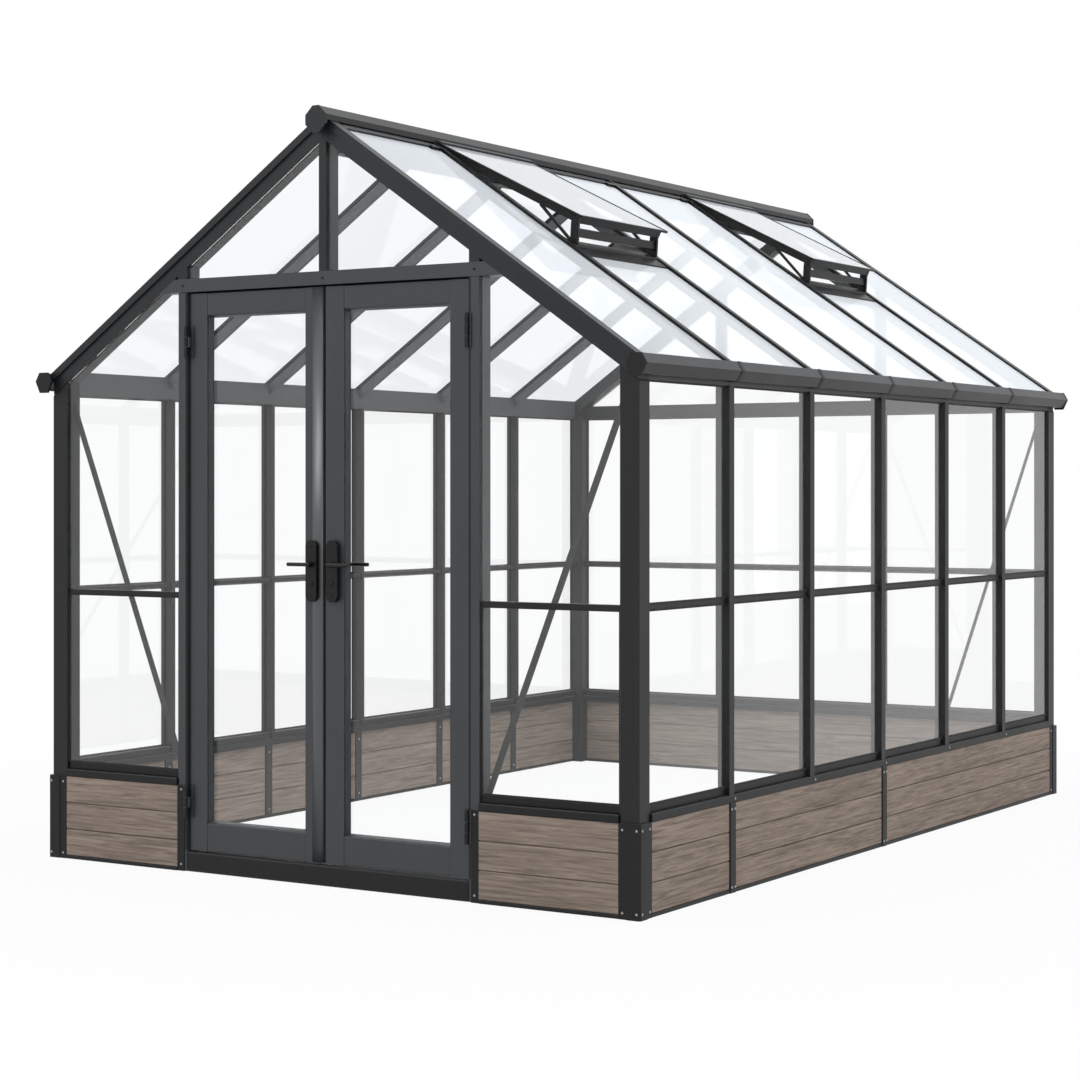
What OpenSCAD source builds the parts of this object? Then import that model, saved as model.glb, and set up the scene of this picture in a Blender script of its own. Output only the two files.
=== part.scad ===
// Glass greenhouse on a board base, with double doors and two roof vents.
// Millimetres, +Z up, the doors face -Y, the origin is the bottom centre.

/* [Overall] */
// outer width of the wall frame
wall_w = 2440; // [2300:10:2700]
// outer length of the wall frame, six glazing bays
wall_l = 3660; // [3360:10:4080]
// height of the board base
base_h = 297; // [240:1:340]
// roof line at the wall face
eave_h = 1733; // [1700:1:1770]
// roof line at the ridge
ridge_h = 2572; // [2540:1:2640]
// eave beam underside, measured down from the roof line
eave_drop = 62; // [58:1:82]
// overhang of the ridge and the gutters past the gables
overhang = 38; // [36:1:80]
// edge chamfer of posts and covers
edge = 6; // [3:1:10]

/* [Base] */
// base board thickness
panel_t = 24; // [16:1:40]
// boards stand proud of the wall face by
panel_proud = 5; // [2:1:8]
// corner covers stand proud of the wall face by
cover_proud = 10; // [9:1:20]
// rail under the boards
foot_h = 12; // [8:1:25]
// rail past the boards
foot_proud = 2; // [1:0.5:4]
// bars over the joints between two board panels
joint_w = 40; // [24:1:60]
// sill on top of the boards
sill_h = 25; // [18:1:35]
// sill edge past the wall face
sill_proud = 8; // [2:1:9]
// rail that holds the lower edge of the glass
glazing_h = 25; // [15:1:35]

/* [Frame] */
// corner post, and the depth of the gable frame
post_w = 70; // [62:1:78]
// outer cap of a side post
cap_w = 34; // [28:1:46]
// outer cap past the wall face
cap_proud = 4; // [2:1:8]
// web of a side post
web_w = 18; // [14:1:24]
// web of a side post, inwards from the wall face
web_d = 46; // [42:1:56]
// glass, inwards from the wall face
glass_in = 10; // [6:1:16]
// glass thickness
glass_t = 4; // [3:1:6]
// rails and bars behind the glass line
rail_d = 30; // [20:1:38]
// underside of the thin bar, measured up from the glazing rail
mid_up = 609; // [500:1:700]
// height of the thin bar
mid_h = 14; // [10:1:24]
// back posts from the middle
back_x = 407; // [350:1:500]
// back post width
back_w = 38; // [30:1:50]
// back post and tie beam depth
back_d = 50; // [40:1:60]
// tie beam height
tie_h = 60; // [50:1:72]
// flat brace width
brace_w = 22; // [16:1:35]
// flat brace thickness
brace_t = 4; // [3:1:6]

/* [Roof] */
// gable rafter, square to the slope
rafter_h = 54; // [45:1:60]
// roof bar width
bar_w = 20; // [14:1:26]
// roof bar depth under the glass
bar_d = 35; // [25:1:45]
// cap over a roof bar
bar_cap_w = 28; // [24:1:36]
// cap thickness
bar_cap_t = 10; // [6:1:10]
// bedding under glass, caps and cut ends along the slope
bed = 0.3; // [0.2:0.1:0.8]
// tongue between two panes
tongue = 3; // [2:1:5]
// eave beam thickness
eave_t = 28; // [20:1:34]
// ridge beam width
ridge_w = 50; // [40:1:60]
// ridge beam depth
ridge_d = 110; // [80:1:130]
// ridge cap width
ridge_cap_w = 84; // [78:1:96]
// ridge cap top over the roof line
ridge_cap_h = 38; // [34:1:48]
// ridge cap chamfer, across
ridge_ch_w = 30; // [16:1:34]
// ridge cap chamfer, down
ridge_ch_h = 30; // [20:1:32]
// ridge end plate height
ridge_end_h = 92; // [80:1:110]
// end plate thickness on the ridge and the gutters
end_t = 8; // [5:1:12]
// capping on a gable rafter, over the glass
capping_t = 8; // [5:1:10]
// capping lip down the face of the rafter
capping_lip = 12; // [8:1:20]
// capping width in from the wall face
capping_w = 34; // [24:1:44]
// glass edge in from the wall face, on a rafter
glass_edge = 18; // [12:1:22]
// glass past the eave beam, over the gutter
drip = 20; // [12:1:26]
// eave beam back from the wall face
eave_back = 5; // [2:1:8]
// gutter sheet
gutter_t = 3.5; // [2.5:0.1:5]
// gutter reach past the eave beam
gutter_w = 53; // [46:1:70]
// gutter height
gutter_h = 64; // [54:1:74]
// gutter underside over the underside of the eave beam
gutter_up = 14; // [10:1:20]
// end plate rim past the gutter
gutter_rim = 8; // [4:1:10]

/* [Vents] */
// vent frame length down the slope
vent_len = 656; // [600:1:760]
// angle at which the vents stand open
vent_open = 8; // [6:1:16]
// vent frame width
vent_w = 26; // [20:1:40]
// vent frame depth under its glass
vent_t = 28; // [20:1:36]
// vent sill along the slope
vent_sill = 30; // [24:1:45]
// gap between a vent frame and the bar caps beside it
vent_side = 3; // [2:0.5:6]
// vent glass from the line of its bars
vent_rest = 2; // [1:0.5:6]
// vent glass past the lower end of its frame
vent_drip = 12; // [3:1:16]
// flashing below a vent sill, along the slope
flash_w = 52; // [30:1:70]
// flashing thickness
flash_t = 5; // [3:1:8]
// upper vent stay width
stay_w = 12; // [8:1:18]
// lower vent stay width
leg_w = 26; // [16:1:32]
// vent stay thickness
stay_t = 6; // [4:1:8]
// vent stay from the line of its bar
stay_in = 20; // [19:1:26]
// upper stay from the lower end of the vent
stay_up = 170; // [120:5:220]
// foot of a stay from the edge of its sill
stay_edge = 2; // [1:0.5:4]
// bar across the stays, square
stay_bar = 24; // [14:1:28]

/* [Doors] */
// clear width between the jambs
door_w = 1180; // [1100:10:1240]
// jamb width
jamb_w = 40; // [34:1:50]
// gap left over the head rail, between a jamb and its rafter
gable_gap = 12; // [6:1:40]
// rail over the doors
head_h = 46; // [36:1:50]
// centre post over the doors
centre_w = 30; // [20:1:45]
// threshold height
threshold_h = 68; // [40:1:90]
// gap round a leaf
leaf_gap = 6; // [5:0.5:9]
// gap between the two leaves
meet_gap = 11; // [11:0.5:16]
// leaf thickness
leaf_t = 36; // [30:1:38]
// leaf set back from the wall face
leaf_in = 12; // [10:1:16]
// leaf glass, out from the inner face of the leaf
pane_in = 6; // [4:1:16]
// leaf stiles
stile_w = 75; // [65:1:90]
// leaf top rail
top_rail = 77; // [60:1:95]
// leaf bottom rail
bottom_rail = 97; // [70:1:140]
// hinge barrel radius
barrel_r = 7; // [6:0.5:8]
// hinge pin radius
pin_r = 3; // [2:0.5:4]
// hinge height
hinge_h = 110; // [80:1:140]
// middle of a hinge from the end of its leaf
hinge_in = 168; // [120:1:300]
// play round the hinge pin
pin_play = 0.3; // [0.1:0.1:0.6]
// hinge strap width
strap_w = 14; // [12:1:38]
// hinge strap thickness
strap_t = 4; // [3:0.5:5]

/* [Handles] */
// spindle height over the threshold
lever_up = 1009; // [900:1:1100]
// spindle over the middle of its back plate
lever_off = 22; // [0:1:40]
// back plate corner radius
plate_r = 22; // [4:1:22]
// back plate height
plate_h = 208; // [160:1:240]
// back plate width
plate_w = 45; // [45:1:56]
// back plate thickness
plate_t = 20; // [4:1:24]
// lever length from the spindle
lever_len = 84; // [70:1:140]
// lever bar radius
lever_r = 6.5; // [5:0.5:8]
// lever bar middle from the leaf face
lever_out = 38; // [34:1:42]
// lever neck radius
neck_r = 9; // [7:0.5:12]
// gap between a neck and its back plate
neck_gap = 2; // [1:0.5:4]
// spindle radius
spindle_r = 5; // [4:0.5:6]
// play round the spindle
spindle_play = 0.3; // [0.1:0.1:1]

/* [Hidden] */
$fn = 32;
wx = wall_w / 2;
hl = wall_l / 2;
bay = wall_l / 6;
slope_t = (ridge_h - eave_h) / wx;
pitch = atan(slope_t);
c = cos(pitch);
under0 = ridge_h - rafter_h / c - bed;
sill_top = base_h + sill_h;
glass_z = sill_top + glazing_h;
eave_z = eave_h - eave_drop;
tie_z = eave_z + tie_h;
sill_in = web_d + brace_t;
eave_x = wx - eave_back;
eave_in = eave_x - eave_t;
drip_x = eave_x + drip;
cap_end = drip_x + gutter_t;
mid_z = glass_z + mid_up;
jamb_in = door_w / 2;
jamb_out = jamb_in + jamb_w;
head_top = under0 - jamb_out * slope_t - gable_gap;
head_z = head_top - head_h;
over_glass = glass_t + 2 * bed;
cap_top = over_glass + bar_cap_t;
capping_top = over_glass + capping_t;
seat_x = ridge_w / 2;
post_in = wx - post_w;
side_joints = [1, 3];
vent_bays = [1, 4];
hinge_x = jamb_in - leaf_gap / 2;
hinge_y = -hl - barrel_r - 1;
leaf_y = -hl + leaf_in;
leaf_z0 = threshold_h + leaf_gap;
leaf_z1 = head_z - leaf_gap;
leaf_out = jamb_in - leaf_gap;
leaf_meet = meet_gap / 2;
hinge_low = leaf_z0 + hinge_in;
hinge_high = leaf_z1 - hinge_in;
lever_z = threshold_h + lever_up;
lever_x = leaf_meet + stile_w / 2;
bore_r = spindle_r + spindle_play;
vent_a = pitch - vent_open;
vent_hx = ridge_cap_w / 2 + 0.5;
vent_hz = ridge_h - vent_hx * slope_t + cap_top / c + bed;
sill_x0 = vent_hx + (vent_len + 2) * c;
sill_x1 = sill_x0 + vent_sill * c;

// roof line and rafter underside over x
function top_z(x) = ridge_h - x * slope_t;
function under_z(x) = under0 - x * slope_t;
function under_x(z) = (under0 - z) / slope_t;

// outline of a slab along the right slope, from x0 to x1, n0 to n1 square to it
function slab(x0, x1, n0, n1) = [
    [x0, top_z(x0) + n0 / c], [x1, top_z(x1) + n0 / c],
    [x1, top_z(x1) + n1 / c], [x0, top_z(x0) + n1 / c]];

// point on an open vent, s down from its hinge edge, n square to it from the top of its frame
function vent_pt(s, n) = [
    vent_hx + s * cos(vent_a) + n * sin(vent_a),
    vent_hz - s * sin(vent_a) + n * cos(vent_a)];
function vent_slab(s0, s1, n0, n1) = [
    vent_pt(s0, n0), vent_pt(s1, n0), vent_pt(s1, n1), vent_pt(s0, n1)];

// bays along a side wall: clear span between webs, and the bar lines
function bar_y(i) = -hl + i * bay;
function span0(i) = i == 0 ? -hl + post_w : bar_y(i) + web_w / 2;
function span1(i) = i == 5 ? hl - post_w : bar_y(i + 1) - web_w / 2;

// spans along the base of a side wall and of the back wall
side_spans = [
    [-hl + post_w, bar_y(1) - joint_w / 2],
    [bar_y(1) + joint_w / 2, bar_y(3) - joint_w / 2],
    [bar_y(3) + joint_w / 2, hl - post_w]];
back_spans = [
    [-post_in, -back_x - joint_w / 2],
    [-back_x + joint_w / 2, back_x - joint_w / 2],
    [back_x + joint_w / 2, post_in]];
back_bays = [
    [-post_in, -back_x - back_w / 2],
    [-back_x + back_w / 2, back_x - back_w / 2],
    [back_x + back_w / 2, post_in]];

// box between two corners
module box(a, b) {
    translate(a) cube(b - a);
}

// outline in x and z, drawn from y0 to y1
module xz(points, y0, y1) {
    translate([0, y1, 0]) rotate([90, 0, 0]) linear_extrude(y1 - y0) polygon(points);
}

// outline in y and z, drawn from x0 to x1
module yz(points, x0, x1) {
    translate([x0, 0, 0]) rotate([90, 0, 90]) linear_extrude(x1 - x0) polygon(points);
}

// the same piece on both sides
module both_x() {
    children();
    mirror([1, 0, 0]) children();
}

// the same piece on both gables
module both_y() {
    children();
    mirror([0, 1, 0]) children();
}

// a bar of the base or sill round the walls, from u0 to u1 out from the wall face
module side_runs(u0, u1, z0, z1) {
    both_x() for (s = side_spans) box([wx + u0, s[0], z0], [wx + u1, s[1], z1]);
}

module end_runs(u0, u1, z0, z1) {
    for (s = back_spans) box([s[0], hl + u0, z0], [s[1], hl + u1, z1]);
    both_x() box([jamb_out, -hl - u1, z0], [post_in, -hl - u0, z1]);
}

module base_panels() {
    color("#7d6a5d") {
        side_runs(panel_proud - panel_t, panel_proud, foot_h, base_h);
        end_runs(panel_proud - panel_t, panel_proud, foot_h, base_h);
    }
}

module base_bottom_rails() {
    color("#24272a") {
        side_runs(panel_proud - panel_t, panel_proud + foot_proud, 0, foot_h);
        end_runs(panel_proud - panel_t, panel_proud + foot_proud, 0, foot_h);
    }
}

module base_corner_covers() {
    o = wx + cover_proud;
    p = hl + cover_proud;
    color("#2b2e31") both_x() both_y() linear_extrude(base_h)
        polygon([[post_in, -p], [o - edge, -p], [o, -p + edge], [o, -hl + post_w],
            [wx, -hl + post_w], [wx, -hl], [post_in, -hl]]);
}

module base_joint_bars() {
    u0 = panel_proud - panel_t;
    color("#2b2e31") {
        both_x() for (i = side_joints)
            box([wx + u0, bar_y(i) - joint_w / 2, 0],
                [wx + cover_proud, bar_y(i) + joint_w / 2, base_h]);
        both_x() box([back_x - joint_w / 2, hl + u0, 0],
            [back_x + joint_w / 2, hl + cover_proud, base_h]);
    }
}

module sill_rails() {
    color("#2b2e31") {
        both_x() box([wx - sill_in, -hl + post_w, base_h],
            [wx + sill_proud, hl - post_w, sill_top]);
        box([-post_in, hl - sill_in, base_h], [post_in, hl + sill_proud, sill_top]);
        both_x() box([jamb_out, -hl - sill_proud, base_h],
            [post_in, -hl + sill_in, sill_top]);
    }
}

// rails behind the glass line of every wall bay
module bay_rails(z0, z1) {
    d0 = glass_in;
    d1 = glass_in + rail_d;
    both_x() for (i = [0:5])
        box([wx - d1, span0(i), z0], [wx - d0, span1(i), z1]);
    for (s = back_bays) box([s[0], hl - d1, z0], [s[1], hl - d0, z1]);
    both_x() box([jamb_out, -hl + d0, z0], [post_in, -hl + d1, z1]);
}

module glazing_rails() {
    color("#303438") bay_rails(sill_top, glass_z);
}

module mid_bars() {
    color("#303438") bay_rails(mid_z, mid_z + mid_h);
}

module door_threshold() {
    color("#303438") box([-jamb_in, -hl, 0], [jamb_in, -hl + post_w, threshold_h]);
}

module corner_posts() {
    h = under_z(post_in);
    color("#303438") both_x() both_y() intersection() {
        xz([[post_in, 0], [wx, 0], [wx, under_z(wx)], [post_in, h]], -hl, -hl + post_w);
        linear_extrude(h) polygon([[post_in, -hl], [wx - edge, -hl], [wx, -hl + edge],
            [wx, -hl + post_w], [post_in, -hl + post_w]]);
    }
}

module side_posts() {
    color("#303438") both_x() for (i = [1:5])
        translate([0, bar_y(i), sill_top]) linear_extrude(eave_z - sill_top)
            polygon([[wx + cap_proud, -cap_w / 2], [wx + cap_proud, cap_w / 2],
                [wx - glass_in, cap_w / 2], [wx - glass_in, web_w / 2],
                [wx - web_d, web_w / 2], [wx - web_d, -web_w / 2],
                [wx - glass_in, -web_w / 2], [wx - glass_in, -cap_w / 2]]);
}

module back_posts() {
    x0 = back_x - back_w / 2;
    x1 = back_x + back_w / 2;
    color("#303438") both_x() {
        box([x0, hl - back_d, sill_top], [x1, hl, eave_z]);
        xz([[x0, tie_z], [x1, tie_z], [x1, under_z(x1)], [x0, under_z(x0)]],
            hl - back_d, hl);
    }
}

module back_tie_beam() {
    xe = under_x(tie_z);
    color("#303438") xz([[-post_in, eave_z], [post_in, eave_z],
        [post_in, under_z(post_in)], [xe, tie_z], [-xe, tie_z],
        [-post_in, under_z(post_in)]], hl - back_d, hl);
}

module door_jambs() {
    color("#303438") both_x()
        box([jamb_in, -hl, 0], [jamb_out, -hl + post_w, head_z]);
}

module door_head_rail() {
    xa = under_x(head_z);
    xb = under_x(head_top);
    color("#303438") xz([[-xa, head_z], [xa, head_z], [xb, head_top], [-xb, head_top]],
        -hl, -hl + post_w);
}

module gable_posts() {
    m = centre_w / 2;
    color("#303438") {
        both_x() xz([[jamb_in, head_top], [jamb_out, head_top],
            [jamb_out, under_z(jamb_out)], [jamb_in, under_z(jamb_in)]],
            -hl, -hl + post_w);
        xz([[-m, head_top], [m, head_top], [m, under_z(m)], [0, under0],
            [-m, under_z(m)]], -hl, -hl + post_w);
    }
}

module eave_beams() {
    color("#303438") both_x()
        xz([[eave_in, eave_z], [eave_x, eave_z], [eave_x, top_z(eave_x)],
            [eave_in, top_z(eave_in)]], -hl + post_w, hl - post_w);
}

// outline of the outer side of a gutter, from its foot up to its lip
function gutter_line(x1, z0) = [
    [x1 - gutter_w * 0.38, z0], [x1, z0 + gutter_h * 0.52],
    [x1 - gutter_w * 0.34, z0 + gutter_h]];

module gutters() {
    x1 = eave_x + gutter_w;
    z0 = eave_z + gutter_up;
    g = gutter_t;
    outer = gutter_line(x1, z0);
    color("#3a3e42") both_x()
        xz([[eave_x, z0], outer[0], outer[1], outer[2], outer[2] - [g, g / 2],
            outer[1] - [g * 1.2, 0], outer[0] + [-g * 0.6, g], [eave_x, z0 + g]],
            -hl - overhang + end_t, hl + overhang - end_t);
}

module gutter_end_caps() {
    x1 = eave_x + gutter_w + 1;
    z0 = eave_z + gutter_up;
    outer = gutter_line(x1, z0);
    xi = eave_x - gutter_rim / 2;
    color("#24272a") both_x() both_y()
        xz([[xi, z0 - gutter_rim], outer[0] - [0, gutter_rim], outer[1], outer[2] + [0, 1],
            [xi, z0 + gutter_h + 1], [xi - 2 * gutter_rim, z0 + gutter_h / 2]],
            -hl - overhang, -hl - overhang + end_t);
}

module gable_rafters() {
    color("#33373b") both_x() both_y()
        xz(slab(0.4, eave_x, -rafter_h, 0), -hl, -hl + post_w);
}

module gable_cappings() {
    n1 = capping_top;
    color("#3a3e42") both_x() both_y() {
        xz(slab(0.4, cap_end, -capping_lip, n1), -hl - capping_t, -hl);
        xz(slab(0.4, cap_end, bed, n1), -hl - 1, -hl + glass_edge);
        xz(slab(0.4, cap_end, over_glass, n1), -hl + glass_edge - 1, -hl + capping_w);
    }
}

module roof_bars() {
    color("#303438") both_x() for (i = [1:5])
        xz(slab(seat_x, eave_in, -bar_d, 0), bar_y(i) - bar_w / 2, bar_y(i) + bar_w / 2);
}

module roof_bar_caps() {
    color("#24272a") both_x() for (i = [1:5]) {
        xz(slab(seat_x, cap_end, bed, over_glass + 1),
            bar_y(i) - tongue / 2, bar_y(i) + tongue / 2);
        xz(slab(seat_x, cap_end, over_glass, cap_top),
            bar_y(i) - bar_cap_w / 2, bar_y(i) + bar_cap_w / 2);
    }
}

module ridge_beam() {
    s = seat_x;
    color("#303438") xz([[-s, ridge_h - ridge_d], [s, ridge_h - ridge_d],
        [s, top_z(s) + cap_top / c], [0, ridge_h + cap_top / c],
        [-s, top_z(s) + cap_top / c]], -hl + post_w, hl - post_w);
}

module ridge_cap() {
    w = ridge_cap_w / 2;
    t = ridge_h + ridge_cap_h;
    u = (cap_top + bed) / c;
    color("#33373b") xz([[0, ridge_h + u], [w, top_z(w) + u],
        [w, t - ridge_ch_h], [w - ridge_ch_w, t], [ridge_ch_w - w, t],
        [-w, t - ridge_ch_h], [-w, top_z(w) + u]],
        -hl - overhang + end_t, hl + overhang - end_t);
}

module ridge_end_caps() {
    w = ridge_cap_w / 2 + 1;
    t = ridge_h + ridge_cap_h + 1;
    b = t - ridge_end_h;
    color("#24272a") both_y() xz([[ridge_ch_w - w, b], [w - ridge_ch_w, b],
        [w, b + ridge_ch_h], [w, t - ridge_ch_h], [w - ridge_ch_w, t], [ridge_ch_w - w, t],
        [-w, t - ridge_ch_h], [-w, b + ridge_ch_h]],
        -hl - overhang, -hl - overhang + end_t);
}

module front_braces() {
    run = post_in - jamb_out;
    z1 = eave_z - brace_w;
    v = brace_w / cos(atan((z1 - sill_top) / run));
    m = (z1 - sill_top - v / 2) / run;
    d = glass_in + rail_d;
    color("#55595d") both_x()
        xz([[post_in, z1], [jamb_out, sill_top + v / 2], [jamb_out, sill_top],
            [jamb_out + v / 2 / m, sill_top], [post_in, z1 - v]],
            -hl + d, -hl + d + brace_t);
}

module side_brace() {
    y1 = hl - post_w;
    y0 = bar_y(4);
    z1 = eave_z - brace_w;
    a = atan((z1 - sill_top) / (y1 - y0));
    color("#55595d") yz([[y1, z1], [y0, sill_top], [y0 + brace_w / sin(a), sill_top],
        [y1, z1 - brace_w / cos(a)]], wx - web_d - brace_t, wx - web_d);
}

// glass sheet of a wall bay on a gable, from an outline in x and z
module pane_front(points) {
    xz(points, -hl + glass_in, -hl + glass_in + glass_t);
}

module pane_back(points) {
    xz(points, hl - glass_in - glass_t, hl - glass_in);
}

module front_glass() {
    z1 = mid_z + mid_h;
    xa = under_x(head_z);
    m = centre_w / 2;
    color("#cfdfe6", 0.35) both_x() {
        pane_front([[jamb_out, glass_z], [post_in, glass_z], [post_in, mid_z],
            [jamb_out, mid_z]]);
        pane_front([[jamb_out, z1], [post_in, z1], [post_in, under_z(post_in)],
            [xa, head_z], [jamb_out, head_z]]);
        pane_front([[m, head_top], [jamb_in, head_top], [jamb_in, under_z(jamb_in)],
            [m, under_z(m)]]);
    }
}

module back_glass() {
    z1 = mid_z + mid_h;
    x0 = back_x - back_w / 2;
    x1 = back_x + back_w / 2;
    xe = under_x(tie_z);
    color("#cfdfe6", 0.35) {
        for (s = back_bays) {
            pane_back([[s[0], glass_z], [s[1], glass_z], [s[1], mid_z], [s[0], mid_z]]);
            pane_back([[s[0], z1], [s[1], z1], [s[1], eave_z], [s[0], eave_z]]);
        }
        both_x() pane_back([[x1, tie_z], [xe, tie_z], [x1, under_z(x1)]]);
        pane_back([[-x0, tie_z], [x0, tie_z], [x0, under_z(x0)], [0, under0],
            [-x0, under_z(x0)]]);
    }
}

module side_glass() {
    x0 = wx - glass_in - glass_t;
    x1 = wx - glass_in;
    color("#cfdfe6", 0.35) both_x() for (i = [0:5]) {
        box([x0, span0(i), glass_z], [x1, span1(i), mid_z]);
        box([x0, span0(i), mid_z + mid_h], [x1, span1(i), eave_z]);
    }
}

function roof0(i) = i == 0 ? -hl + glass_edge : bar_y(i) + tongue / 2;
function roof1(i) = i == 5 ? hl - glass_edge : bar_y(i + 1) - tongue / 2;
function is_vent(i) = i == vent_bays[0] || i == vent_bays[1];

module roof_glass() {
    color("#cfdfe6", 0.35) for (i = [0:5]) {
        mirror([1, 0, 0]) xz(slab(seat_x, drip_x, bed, bed + glass_t), roof0(i), roof1(i));
        xz(slab(is_vent(i) ? sill_x1 : seat_x, drip_x, bed, bed + glass_t),
            roof0(i), roof1(i));
    }
}

// four bars to a vent: two sides at full length, and two rails between them
module vent_frames() {
    color("#24272a") for (i = vent_bays) {
        y0 = bar_y(i) + bar_cap_w / 2 + vent_side;
        y1 = bar_y(i + 1) - bar_cap_w / 2 - vent_side;
        for (y = [y0, y1 - vent_w]) xz(vent_slab(0, vent_len, -vent_t, 0), y, y + vent_w);
        for (s = [0, vent_len - vent_w])
            xz(vent_slab(s, s + vent_w, -vent_t, 0), y0 + vent_w + bed, y1 - vent_w - bed);
    }
}

module vent_glass() {
    color("#cfdfe6", 0.35) for (i = vent_bays)
        xz(vent_slab(bed, vent_len + vent_drip, bed, bed + glass_t),
            bar_y(i) + vent_rest, bar_y(i + 1) - vent_rest);
}

module vent_sills() {
    color("#24272a") for (i = vent_bays) {
        xz(slab(sill_x0, sill_x1, -bar_d, 0), bar_y(i) + bar_w / 2, bar_y(i + 1) - bar_w / 2);
        xz(slab(sill_x0, sill_x1, -1, cap_top),
            bar_y(i) + bar_cap_w / 2, bar_y(i + 1) - bar_cap_w / 2);
        xz(slab(sill_x1 - 1, sill_x1 + flash_w * c, over_glass, over_glass + flash_t),
            bar_y(i) + bar_cap_w / 2, bar_y(i + 1) - bar_cap_w / 2);
    }
}

// two stays on each side of a vent, from its sill to its frame, and a bar between the lower ones
module vent_stays() {
    xa = sill_x0 + stay_edge;
    u = (cap_top + bed) / c;
    n = -vent_t - bed;
    s1 = vent_len - leg_w;
    s0 = vent_len - stay_up;
    leg_foot = vent_sill * c - 2 * stay_edge;
    mid = ([xa, top_z(xa) + u] + vent_pt(vent_len, n)) / 2;
    h = stay_bar / 2;
    color("#24272a") for (i = vent_bays) {
        ya = bar_y(i) + stay_in;
        yb = bar_y(i + 1) - stay_in;
        for (y = [ya, yb - stay_t])
            xz([[xa, top_z(xa) + u], [xa + stay_w, top_z(xa + stay_w) + u],
                vent_pt(s0 + stay_w, n), vent_pt(s0, n)], y, y + stay_t);
        yc = ya + stay_t + bed;
        yd = yb - stay_t - bed;
        for (y = [yc, yd - stay_t])
            xz([[xa, top_z(xa) + u], [xa + leg_foot, top_z(xa + leg_foot) + u],
                vent_pt(vent_len, n), vent_pt(s1, n)], y, y + stay_t);
        xz([mid + [-h / 2, -h], mid + [h / 2, -h], mid + [h / 2, h], mid + [-h / 2, h]],
            yc + stay_t + bed, yd - stay_t - bed);
    }
}

// jamb half of a hinge: strap, upper and lower barrel, and the pin
module jamb_hinge(z) {
    h = hinge_h / 3;
    difference() {
        union() {
            translate([hinge_x, hinge_y, z - hinge_h / 2]) cylinder(r = barrel_r, h = hinge_h);
            box([hinge_x, -hl - strap_t, z - hinge_h / 2],
                [hinge_x + strap_w, -hl, z + hinge_h / 2]);
        }
        translate([hinge_x, hinge_y, z - h / 2]) difference() {
            cylinder(r = barrel_r + 2, h = h);
            translate([0, 0, -1]) cylinder(r = pin_r, h = h + 2);
        }
    }
}

module jamb_hinges() {
    color("#1c1e20") both_x() {
        jamb_hinge(hinge_low);
        jamb_hinge(hinge_high);
    }
}

// leaf half of a hinge: middle barrel and the strap on the leaf
module leaf_hinge(z) {
    h = hinge_h / 3 - 2;
    difference() {
        union() {
            translate([hinge_x, hinge_y, z - h / 2]) cylinder(r = barrel_r, h = h);
            box([hinge_x - 2 * barrel_r, hinge_y, z - h / 2],
                [hinge_x - barrel_r / 3, leaf_y, z + h / 2]);
            box([hinge_x - barrel_r - strap_w, leaf_y - strap_t, z - hinge_h / 2],
                [hinge_x - barrel_r - 1, leaf_y, z + hinge_h / 2]);
        }
        translate([hinge_x, hinge_y, z - h]) cylinder(r = pin_r + pin_play, h = 2 * h);
    }
}

module door_hinges() {
    color("#1c1e20") {
        leaf_hinge(hinge_low);
        leaf_hinge(hinge_high);
    }
}

module door_stiles() {
    color("#3b4044") {
        box([leaf_out - stile_w, leaf_y, leaf_z0], [leaf_out, leaf_y + leaf_t, leaf_z1]);
        difference() {
            box([leaf_meet, leaf_y, leaf_z0], [leaf_meet + stile_w, leaf_y + leaf_t, leaf_z1]);
            translate([lever_x, leaf_y - 1, lever_z]) rotate([-90, 0, 0])
                cylinder(r = bore_r, h = leaf_t + 2);
        }
    }
}

module door_rails() {
    x0 = leaf_meet + stile_w;
    x1 = leaf_out - stile_w;
    color("#3b4044") {
        box([x0, leaf_y, leaf_z0], [x1, leaf_y + leaf_t, leaf_z0 + bottom_rail]);
        box([x0, leaf_y, leaf_z1 - top_rail], [x1, leaf_y + leaf_t, leaf_z1]);
    }
}

module door_glass() {
    y1 = leaf_y + leaf_t - pane_in;
    color("#cfdfe6", 0.35)
        box([leaf_meet + stile_w, y1 - glass_t, leaf_z0 + bottom_rail],
            [leaf_out - stile_w, y1, leaf_z1 - top_rail]);
}

// rounded back plate outside and inside, with the spindle bore
module handle_plate(y0) {
    r = plate_r;
    w = plate_w / 2;
    z0 = lever_z - lever_off - plate_h / 2;
    translate([lever_x, y0 + plate_t, z0]) rotate([90, 0, 0]) linear_extrude(plate_t)
        difference() {
            union() {
                translate([-w + r, 0]) square([plate_w - 2 * r, plate_h]);
                translate([-w, r]) square([plate_w, plate_h - 2 * r]);
                for (x = [r - w, w - r]) for (z = [r, plate_h - r])
                    translate([x, z]) circle(r = r);
            }
            translate([0, lever_off + plate_h / 2]) circle(r = bore_r);
        }
}

module handle_plates() {
    color("#15171a") {
        handle_plate(leaf_y - plate_t);
        handle_plate(leaf_y + leaf_t);
    }
}

// spindle through the leaf with a lever outside and one inside
module lever() {
    ya = leaf_y - lever_out;
    yb = leaf_y + leaf_t + lever_out;
    neck = lever_out - plate_t - neck_gap;
    color("#15171a") {
        translate([lever_x, ya, lever_z]) rotate([-90, 0, 0])
            cylinder(r = spindle_r, h = yb - ya);
        for (y = [ya, yb - neck]) translate([lever_x, y, lever_z]) rotate([-90, 0, 0])
            cylinder(r = neck_r, h = neck);
        for (y = [ya, yb]) translate([lever_x - lever_r, y, lever_z]) rotate([0, 90, 0])
            cylinder(r = lever_r, h = lever_len + lever_r);
    }
}

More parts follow.
